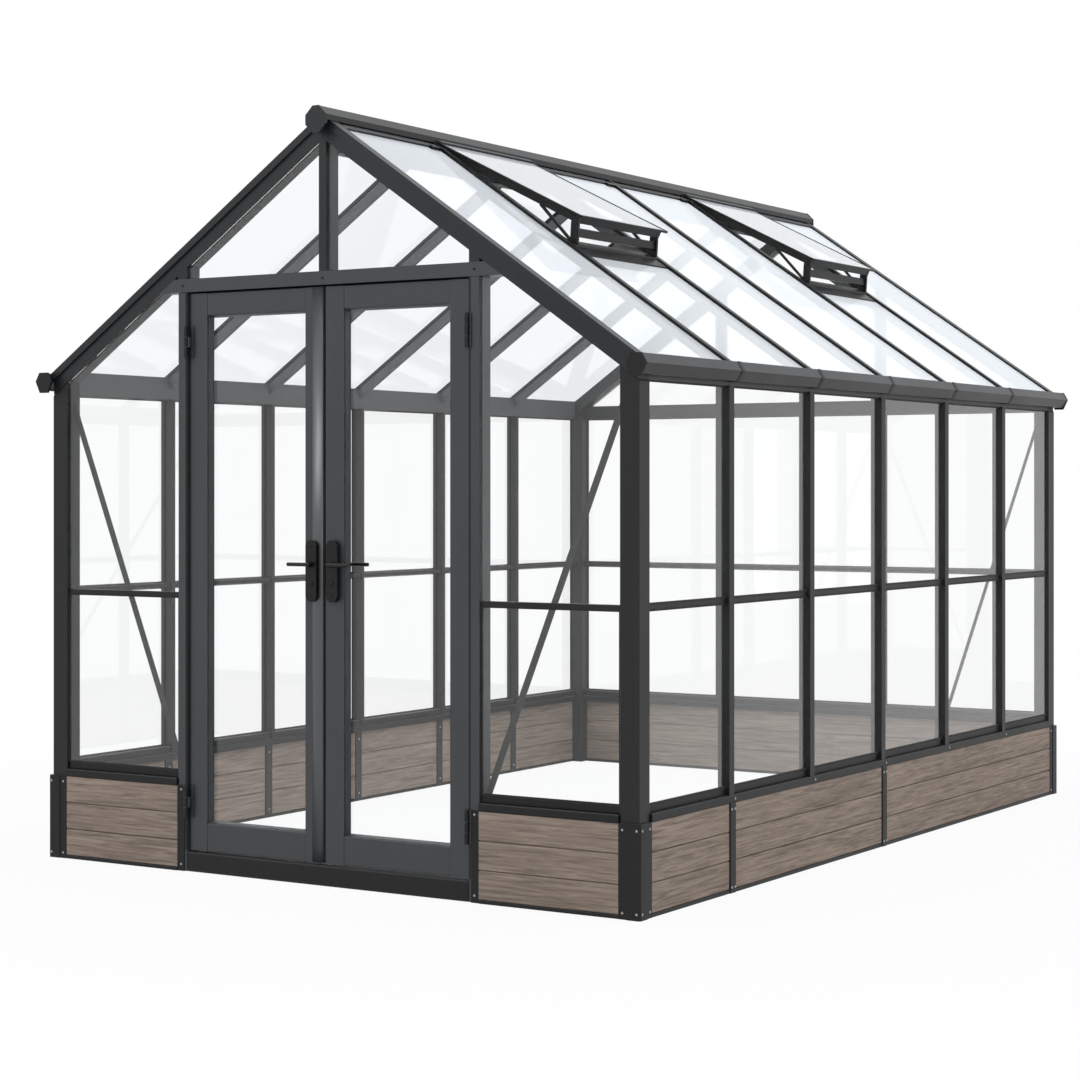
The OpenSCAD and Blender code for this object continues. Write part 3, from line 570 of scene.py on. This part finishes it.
# %% Three boards to a panel
low, high = solids_of("base_panels")
rows = 3
gap = 0.0026
core_inset = 0.008
row = np.arange(rows)
height = (high[:, 2] - low[:, 2]) / rows
board_low = np.repeat(low, rows, axis=0)
board_high = np.repeat(high, rows, axis=0)
board_low[:, 2] = (low[:, 2:] + height[:, None] * row).ravel() + gap / 2
board_high[:, 2] = (low[:, 2:] + height[:, None] * (row + 1)).ravel() - gap / 2
thin = (high - low)[:, :2].argmin(1)
inset = np.eye(3)[thin] * core_inset
single_boards = bars_in_boxes(board_low, board_high, 0.0025)[0]
cores = bars_in_boxes(low + inset, high - inset, 0.001)[0]
points = np.concatenate([single_boards, cores])
faces = tube_faces(*points.shape[:3])
print("boards:", len(single_boards), "of", np.round(height.mean(), 4), "m")

# %% [markdown]
# ## Wood grain
# The boards are a printed or brushed grey-brown grain: long streaks, fine dark fibre and slow tone changes.
# Three noises, stretched ever further along the board, give those three sizes. The streaks also lift a
# shallow bump, so the boards catch light as wood does.

# %% Node group for grain
wood_grain, grain_in, grain_out = new_group(
    "wood_grain", [("Dark", "NodeSocketColor"), ("Light", "NodeSocketColor")],
    [("Color", "NodeSocketColor"), ("Roughness", "NodeSocketFloat"), ("Height", "NodeSocketFloat")])
lay = put(wood_grain, "ShaderNodeAttribute", attribute_name="grain").outputs["Vector"]


def stretched_noise(scale, detail, twist):
    """Noise on the board's own place, stretched by a different scale along and across."""
    stretch = put(wood_grain, "ShaderNodeMapping", Scale=scale)
    noise = put(wood_grain, "ShaderNodeTexNoise", Scale=1.0, Detail=detail, Distortion=twist)
    join(wood_grain, (lay, stretch.inputs["Vector"]), (stretch.outputs[0], noise.inputs["Vector"]))
    return noise.outputs["Fac"]


tone = stretched_noise((1.3, 12.0, 7.0), 2.0, 0.3)
streaks = stretched_noise((5.2, 105.0, 5.0), 5.0, 0.9)
fibre = stretched_noise((22.0, 420.0, 3.0), 3.0, 0.4)
mixed = math_node(wood_grain, "MULTIPLY_ADD", streaks, 2.0, -1.17)
mixed = math_node(wood_grain, "ADD", mixed, math_node(wood_grain, "MULTIPLY", tone, 0.7))
mixed = math_node(wood_grain, "ADD", mixed, math_node(wood_grain, "MULTIPLY", fibre, 0.7))
colour = put(wood_grain, "ShaderNodeMix", data_type="RGBA", clamp_factor=True)
dry = math_node(wood_grain, "MULTIPLY_ADD", fibre, -0.2, 0.78)
join(wood_grain, (mixed, colour.inputs["Factor"]), (grain_in.outputs["Dark"], colour.inputs[6]),
     (grain_in.outputs["Light"], colour.inputs[7]), (colour.outputs[2], grain_out.inputs["Color"]),
     (dry, grain_out.inputs["Roughness"]), (mixed, grain_out.inputs["Height"]))
print("group", wood_grain.name)

# %% Board material
board_wood = bpy.data.materials.new("board_wood")
board_wood.use_nodes = True
tree = board_wood.node_tree
grain = put(tree, "ShaderNodeGroup", node_tree=wood_grain, Dark=(0.121, 0.093, 0.076, 1.0),
            Light=(0.328, 0.262, 0.2185, 1.0))
relief = put(tree, "ShaderNodeBump", Strength=0.5, Distance=0.0012)
surface = tree.nodes["Principled BSDF"]
surface.inputs["Specular IOR Level"].default_value = 0.3
join(tree, (grain.outputs["Color"], surface.inputs["Base Color"]),
     (grain.outputs["Roughness"], surface.inputs["Roughness"]),
     (grain.outputs["Height"], relief.inputs["Height"]),
     (relief.outputs["Normal"], surface.inputs["Normal"]))
print("material", board_wood.name)

# %% Boards with their grain
boards = make_piece("base_boards", points, faces, board_wood, "house", ["base_panels"])
long_axis = np.concatenate([np.repeat(1 - thin, rows), 1 - thin])
along = np.take_along_axis(points, long_axis[:, None, None, None], 3)[..., 0]
number = np.arange(len(points))[:, None, None] * np.ones_like(along)
shift_per_board = 0.37
lay_out = np.stack([along + shift_per_board * number, points[..., 2], number], -1)
boards.data.attributes.new("grain", "FLOAT_VECTOR", "POINT")
boards.data.attributes["grain"].data.foreach_set("vector", lay_out.astype(np.float32).ravel())
print("grain laid on", lay_out.shape[0], "boards and cores")

# %% [markdown]
# ## Bars on the inside of the base
# Behind each side post a flat bar ties the boards together on the inside, where it shows through the glass
# and the open doors. The bars stand on the inner face of the panels, which is read from the CAD solids, so
# they stay in touch with the boards.

# %% Flat bars behind the posts
low, high = solids_of("base_panels")
long_wall = (high - low)[:, 0] < (high - low)[:, 1]
inner_x = np.abs(np.stack([low[long_wall, 0], high[long_wall, 0]])).min()
bay = 0.610
post_y = np.arange(-2, 3) * bay
half_bar = np.array([0.003, 0.020, 0.0])
bar_y = np.tile(post_y, 2)
bar_x = np.repeat([-1.0, 1.0], len(post_y)) * (inner_x - half_bar[0])
middle = np.c_[bar_x, bar_y, 0 * bar_y]
bar_low = middle - half_bar + [0, 0, low[:, 2].min()]
bar_high = middle + half_bar + [0, 0, high[:, 2].max()]
points, faces = bars_in_boxes(bar_low, bar_high, 0.0012)
make_piece("inner_joint_bars", points, faces, brace_grey, "house")

# %% [markdown]
# ## Screws
# Bright pan-head screws hold the covers, bars and straps, and their small glints are what the eye takes for
# workmanship. One head is a short profile turned about its axis, with a dip in the middle for the driver.
# It is computed once and copied to every place by array arithmetic, so each head has only a few dozen faces.


# %% Turned screw heads
def screw_heads(places, facing, radius):
    """Turns the profile (r, h) about the axis: point = place + r cos a u + r sin a v + h facing."""
    places, facing = np.asarray(places, float), np.asarray(facing, float)
    helper = np.where(np.abs(facing[:, 2:]) > 0.9, [[1.0, 0, 0]], [[0, 0, 1.0]])
    u = np.cross(helper, facing)
    v = np.cross(facing, u)
    profile = radius * np.array([[1.0, -0.1], [1.0, 0.22], [0.78, 0.48], [0.40, 0.58], [0.26, 0.30]])
    angle = np.arange(10) * 2 * np.pi / 10
    ring = profile[:, :1, None] * np.stack([np.cos(angle), np.sin(angle)], -1)
    points = (places[:, None, None] + ring[None, ..., :1] * u[:, None, None]
              + ring[None, ..., 1:] * v[:, None, None] + profile[None, :, None, 1:] * facing[:, None, None])
    return points, tube_faces(len(places), len(profile), len(angle))


def metal(name, tint, dullness):
    """Bare plated metal with the coat group's cloudiness."""
    finish = painted(name, tint, dullness, 0.5, 0.1, 0.1, 0.05)
    finish.node_tree.nodes["Principled BSDF"].inputs["Metallic"].default_value = 1.0
    return finish


screw_zinc = metal("screw_zinc", (0.36, 0.365, 0.37), 0.34)
print("screw material", screw_zinc.name)


# %% Screws of the base
def grid_of(*columns):
    """Every combination of the given coordinate lists, one row each."""
    return np.stack(np.meshgrid(*columns, indexing="ij"), -1).reshape(-1, len(columns))


def facing_rows(rows, axis):
    """Unit vectors along one axis, pointing away from the middle of the house."""
    away = np.zeros_like(rows)
    away[:, axis] = np.sign(rows[:, axis])
    return away


base_screw = 0.0043
cover_z = [0.020, 0.277]
end_faces = np.concatenate([grid_of([-1.164, 1.164], [-1.8365, 1.8365], cover_z),
                            grid_of([-1.217, 1.217], [-1.840, 1.840], cover_z),
                            grid_of([-0.613, 0.613], [-1.8328], [0.024, 0.284]),
                            grid_of([-0.417, -0.397, 0.397, 0.417], [1.840], cover_z)])
side_faces = np.concatenate([grid_of([-1.2265, 1.2265], [-1.774, 1.774], cover_z),
                             grid_of([-1.230, 1.230], [-1.827, 1.827], cover_z),
                             grid_of([-1.230, 1.230], [-1.231, -1.209, -0.011, 0.011], cover_z),
                             grid_of([-1.228, 1.228], [-1.205, -0.595, 0.015, 0.625, 1.235], [0.3095])])
inside = grid_of([-inner_x + 0.006, inner_x - 0.006], post_y, [0.035, 0.265])
places = np.concatenate([end_faces, side_faces, inside])
away = np.concatenate([facing_rows(end_faces, 1), facing_rows(side_faces, 0), -facing_rows(inside, 0)])
points, faces = screw_heads(places, away, base_screw)
make_piece("base_screws", points, faces, screw_zinc, "house")

# %% Bolts of the head rail, hinge straps and handle plates
rail_bolt, strap_bolt, plate_screw = 0.0045, 0.0028, 0.0042
spindle_x = 0.043
plate_faces = [-1.838, -1.762]
rail_bolts = grid_of([-bay, 0.0, bay], [-1.830], [2.038])
points, faces = screw_heads(rail_bolts, facing_rows(rail_bolts, 1), rail_bolt)
make_piece("rail_bolts", points, faces, hardware_black, "house")
hinge_z = np.array([0.242, 1.841])
bolt_z = (hinge_z[:, None] + [-0.045, 0.0, 0.045]).ravel()
bolts = grid_of([-0.5955, 0.5955], [-1.834], bolt_z)
points, faces = screw_heads(bolts, facing_rows(bolts, 1), strap_bolt)
make_piece("jamb_strap_bolts", points, faces, door_coat, "house")
leaves = (("left_door", -1.0), ("right_door", 1.0))
for body, side in leaves:
    bolts = grid_of([side * 0.5715], [-1.822], bolt_z)
    points, faces = screw_heads(bolts, facing_rows(bolts, 1), strap_bolt)
    make_piece(body + "_strap_bolts", points, faces, door_coat, body)
    plates = grid_of([side * spindle_x], plate_faces, [0.972, 1.138])
    away = np.sign(plates[:, 1:2] - np.mean(plate_faces)) * [[0.0, 1.0, 0.0]]
    points, faces = screw_heads(plates, away, plate_screw)
    make_piece(body + "_plate_screws", points, faces, hardware_black, body)

# %% [markdown]
# ## Hinge knuckles
# Of each hinge the eye meets a slim black barrel in three knuckles; its straps take the colour of the frame.
# A knuckle is turned like a screw head: a profile of radius and height spun about the pin. The two outer
# knuckles stay with the jamb and the middle one goes with its leaf, so they part when a door opens.


# %% Turned knuckles
def turned(places, profile, sides=20):
    """Spins the profile (radius, height) about an upright axis: x = r cos a, y = r sin a, z = height."""
    profile = np.asarray(profile, float)
    angle = np.arange(sides) * 2 * np.pi / sides
    ring = profile[:, :1, None] * np.stack([np.cos(angle), np.sin(angle)], -1)
    shape = np.concatenate([ring, np.broadcast_to(profile[:, None, 1:], ring.shape[:2] + (1,))], -1)
    points = np.asarray(places, float)[:, None, None] + shape[None]
    return points, tube_faces(len(places), len(profile), sides)


def knuckle(half_height, dome):
    """Profile of one knuckle with eased ends; a dome above zero adds a rounded cap at the top."""
    radius, ease = 0.0076, 0.0012
    rim = [[radius - ease, -half_height], [radius, ease - half_height], [radius, half_height - ease],
           [radius - ease, half_height]]
    cap = [[radius * 0.8, half_height + dome * 0.6], [radius * 0.3, half_height + dome]]
    return np.array(rim + (cap if dome else []))


def together(parts):
    """Joins surfaces into one: their points follow each other, and the numbers in the faces move on."""
    points = np.concatenate([part.reshape(-1, 3) for part, _ in parts])
    starts = np.cumsum([0] + [part[..., 0].size for part, _ in parts]).tolist()
    faces = [[k + start for k in face] for start, (_, own) in zip(starts, parts) for face in own]
    return points, faces


pin_x, pin_y = 0.587, -1.838
knuckle_step = 0.0367
outer_half, middle_half, cap_dome = 0.0183, 0.0170, 0.003
pins = grid_of([-pin_x, pin_x], [pin_y], hinge_z)
points, faces = together([turned(pins + [0, 0, knuckle_step], knuckle(outer_half, cap_dome)),
                          turned(pins - [0, 0, knuckle_step], knuckle(outer_half, 0.0))])
make_piece("jamb_knuckles", points, faces, hardware_black, "house")
for body, side in leaves:
    points, faces = turned(grid_of([side * pin_x], [pin_y], hinge_z), knuckle(middle_half, 0.0))
    make_piece(body + "_knuckles", points, faces, hardware_black, body)

# %% [markdown]
# ## Beads round the door glass
# A sloped bead holds each door pane in its leaf, outside and inside, and draws a fine inner line round the
# glass. It is a small section carried round a rectangle: at each of the four corners the section is set out
# between an outer and an inner rectangle, so the mitres come by themselves.


# %% Mitred beads
def mitred_frames(low, high, axis, section):
    """Section points are (share, level): share runs inwards from the edge of the pane, level along the axis.
    Corner k of each pane takes every section point, and faces join corner k to corner k + 1."""
    i, j = [k for k in range(3) if k != axis]
    section = np.asarray(section, float)
    corner = np.array([[0, 0], [1, 0], [1, 1], [0, 1]])
    inward = 1 - 2 * corner
    points = np.empty((len(low), 4, len(section), 3))
    for k, column in ((i, 0), (j, 1)):
        edge = np.where(corner[:, column], high[:, k, None], low[:, k, None])
        points[..., k] = edge[..., None] + inward[:, column, None] * section[:, 0]
    points[..., axis] = section[:, 1]
    index = np.arange(points[..., 0].size).reshape(points.shape[:3])
    after = np.roll(index, -1, 1)
    quads = np.stack([index, after, np.roll(after, -1, 2), np.roll(index, -1, 2)], -1)
    return points, quads.reshape(-1, 4).tolist()


outer_bead = [[0.0, -1.812], [0.002, -1.812], [0.007, -1.7965], [0.007, -1.7922], [0.0, -1.7922]]
inner_bead = [[0.0, -1.7878], [0.007, -1.7878], [0.007, -1.786], [0.003, -1.7825], [0.0, -1.7825]]
for body, _ in leaves:
    low, high = solids_of(body + "_glass")
    points, faces = together([mitred_frames(low, high, 1, bead) for bead in (outer_bead, inner_bead)])
    make_piece(body + "_beads", points, faces, door_coat, body)

# %% [markdown]
# ## Rubber seals of the wall panes
# Each fixed pane is pressed into its bars by a black rubber lip. Without it glass and bar would meet in a
# bare line. The same mitred frame serves, a few millimetres wide, on the outer face of every upright pane.
# The doorway is sealed too: a strip on the edge of each jamb, and one behind the gap over the leaves.

# %% Seals
rubber = painted("seal_rubber", (0.006, 0.006, 0.006), 0.6, 0.3, 0.1, 0.2, 0.2)
low, high = solids_of("side_glass")
right_wall = low[:, 0] > 0
lip = np.array([[0.0, 0.0], [0.007, 0.0], [0.006, 0.0022], [0.0, 0.003]])
side_face, end_face = 1.2102, 1.8202
wall_top, square_top = 1.70, 1.0
seals = []
for chosen, outer in ((right_wall, side_face), (~right_wall, -side_face)):
    section = np.c_[lip[:, 0], outer + np.sign(outer) * lip[:, 1]]
    seals.append(mitred_frames(low[chosen], high[chosen], 0, section))
low, high = solids_of("back_glass")
upright = high[:, 2] < wall_top
seals.append(mitred_frames(low[upright], high[upright], 1, np.c_[lip[:, 0], end_face + lip[:, 1]]))
low, high = solids_of("front_glass")
upright = high[:, 2] < square_top
seals.append(mitred_frames(low[upright], high[upright], 1, np.c_[lip[:, 0], -end_face - lip[:, 1]]))
points, faces = together(seals)
make_piece("pane_seals", points, faces, rubber, "house")

# %% Seals round the doorway
low = np.array([[-0.596, -1.8312, 0.075], [0.590, -1.8312, 0.075], [-0.600, -1.7762, 1.999]])
high = np.array([[-0.590, -1.8290, 2.014], [0.596, -1.8290, 2.014], [0.600, -1.7690, 2.021]])
points, faces = bars_in_boxes(low, high, 0.0008)
make_piece("doorway_seals", points, faces, rubber, "house")

# %% [markdown]
# ## Gutter joints and ridge strips
# The gutters are joined at every bay by a thin band that follows their outside. Along the ridge a flat strip
# holds the upper edge of the glass in each bay without a vent, and a small bracket ends it at the roof bar.
# The band is the gutter's own outline, pushed out a little and given thickness; strips and brackets are
# softened bars lying along the ridge.

# %% Gutter bands
outline = np.array([[1.2150, 1.6835], [1.2480, 1.6835], [1.2698, 1.7180], [1.2512, 1.7505]])
inner_line = np.array([[1.2150, 1.6852], [1.2477, 1.6852], [1.2678, 1.7182], [1.2497, 1.7495]])
section = np.concatenate([outline, inner_line[::-1]])
half_band = 0.011
bands = np.empty((2, len(post_y), 2, len(section), 3))
bands[..., 0] = np.array([1.0, -1.0])[:, None, None, None] * section[:, 0]
bands[..., 1] = (post_y[:, None] + np.array([-half_band, half_band]))[None, :, :, None]
bands[..., 2] = section[:, 1]
bands = bands.reshape(-1, 2, len(section), 3)
make_piece("gutter_joints", bands, tube_faces(*bands.shape[:3]), base_coat, "house")

# %% Ridge strips and brackets
pitch = math.atan(roof_slope)
down = np.array([math.cos(pitch), 0.0, -math.sin(pitch)])
square = np.array([math.sin(pitch), 0.0, math.cos(pitch)])
peak = np.array([0.0, 0.0, ridge_z])


def ridge_bars(spots, middle, half_width, half_height):
    """Softened bars along the ridge, one for each (side, first y, last y), all at one place of the slope."""
    side, first, last = np.array(spots, float).T
    flip = np.stack([side, 1 + 0 * side, 1 + 0 * side], 1)
    line = np.array([[0.0, 1.0, 0.0]])
    return soft_bars(flip * middle + first[:, None] * line, flip * middle + last[:, None] * line,
                     flip * down * half_width, flip * square * half_height, 0.002)


half_bar_gap = 0.016
strip_end = 1.796
bracket_reach = 0.075
vent_bays = (1, 4)
edges = np.r_[-strip_end - half_bar_gap, post_y, strip_end + half_bar_gap]
bays = [(side, edges[k] + half_bar_gap, edges[k + 1] - half_bar_gap) for side in (1, -1)
        for k in range(len(edges) - 1) if side < 0 or k not in vent_bays]
points, faces = ridge_bars(bays, peak + 0.062 * down + 0.0082 * square, 0.0112, 0.0034)
make_piece("ridge_strips", points, faces, gable_coat, "house")
ends = [(side, y - bracket_reach, y - half_bar_gap) for side in (1, -1) for k, y in enumerate(post_y)
        if side < 0 or k not in vent_bays]
points, faces = ridge_bars(ends, peak + 0.079 * down + 0.0105 * square, 0.0075, 0.0055)
make_piece("ridge_brackets", points, faces, hardware_black, "house")

# %% [markdown]
# ## Edge trims of the vents
# Each open vent pane is edged by a thin dark channel, which draws its outline against the pale roof. The
# pane lies flatter than the roof, so its line is found from the box of its solid: half a thickness in from
# the upper left and lower right corner. The trims are softened bars along the two sides and the lower edge,
# and a flat rail along the upper edge holds the pane under the ridge.

# %% Trims round the vent panes
low, high = solids_of("vent_glass")
vent_lift = math.radians(8.0)
open_pitch = pitch - vent_lift
fall = np.array([math.cos(open_pitch), 0.0, -math.sin(open_pitch)])
rise = np.array([math.sin(open_pitch), 0.0, math.cos(open_pitch)])
half_pane = 0.002
top_edge = np.stack([low[:, 0] + half_pane * rise[0], 0 * low[:, 1], high[:, 2] - half_pane * rise[2]], 1)
foot = np.stack([high[:, 0] - half_pane * rise[0], 0 * low[:, 1], low[:, 2] + half_pane * rise[2]], 1)
line_y = np.array([[0.0, 1.0, 0.0]])
sides = [low[:, 1:2] * line_y, high[:, 1:2] * line_y]
starts = np.concatenate([top_edge + sides[0], top_edge + sides[1], foot + sides[0]])
ends = np.concatenate([foot + sides[0], foot + sides[1], foot + sides[1]])
across = np.concatenate([np.repeat(0.0045 * line_y, 4, 0), np.repeat(0.0045 * fall[None], 2, 0)])
points, faces = soft_bars(starts, ends, across, 0.0042 * rise, 0.0015)
make_piece("vent_trims", points, faces, hardware_black, "house")
hinge_line = top_edge + 0.011 * fall + 0.006 * rise
points, faces = soft_bars(hinge_line + sides[0], hinge_line + sides[1], 0.010 * fall, 0.004 * rise, 0.002)
make_piece("vent_hinge_rails", points, faces, gable_coat, "house")

# %% [markdown]
# ## Crowned meeting stile and locks
# The meeting stile of the left leaf is crowned, and its right flank catches a bright line of light. A shallow
# strip gives that: its section is a parabola, carried up the height of the leaf, in a glossier coat than the
# rest of the door. Under each lever sits a small turned lock, a wider head from the same rule as the screws.

# %% Crowned strip on the left leaf
strip_coat = painted("strip_coat", (0.0345, 0.0380, 0.0427), 0.33, 0.85, 0.1)
width, crown = 0.046, 0.0034
strip_x, strip_front, strip_back = -0.0292, -1.8182, -1.8165
across = np.linspace(-1, 1, 13)
arc = np.c_[strip_x + across * width / 2, strip_front - crown * (1 - across ** 2)]
section = np.concatenate([arc, [[arc[-1, 0], strip_back], [arc[0, 0], strip_back]]])
strip = np.empty((1, 2, len(section), 3))
strip[..., :2] = section
strip[..., 2] = np.array([0.076, 2.007])[None, :, None]
crowned = make_piece("meeting_strip", strip, tube_faces(1, 2, len(section)), strip_coat, "left_door")
on_crown = np.arange(len(crowned.data.polygons)) < len(arc) - 1
crowned.data.polygons.foreach_set("use_smooth", on_crown)

# %% Turned locks
lock_radius = 0.0085
for body, side in leaves:
    places = grid_of([side * spindle_x], plate_faces, [1.012])
    away = np.array([[0.0, -1.0, 0.0], [0.0, 1.0, 0.0]])
    points, faces = screw_heads(places, away, lock_radius)
    make_piece(body + "_locks", points, faces, hardware_black, body)
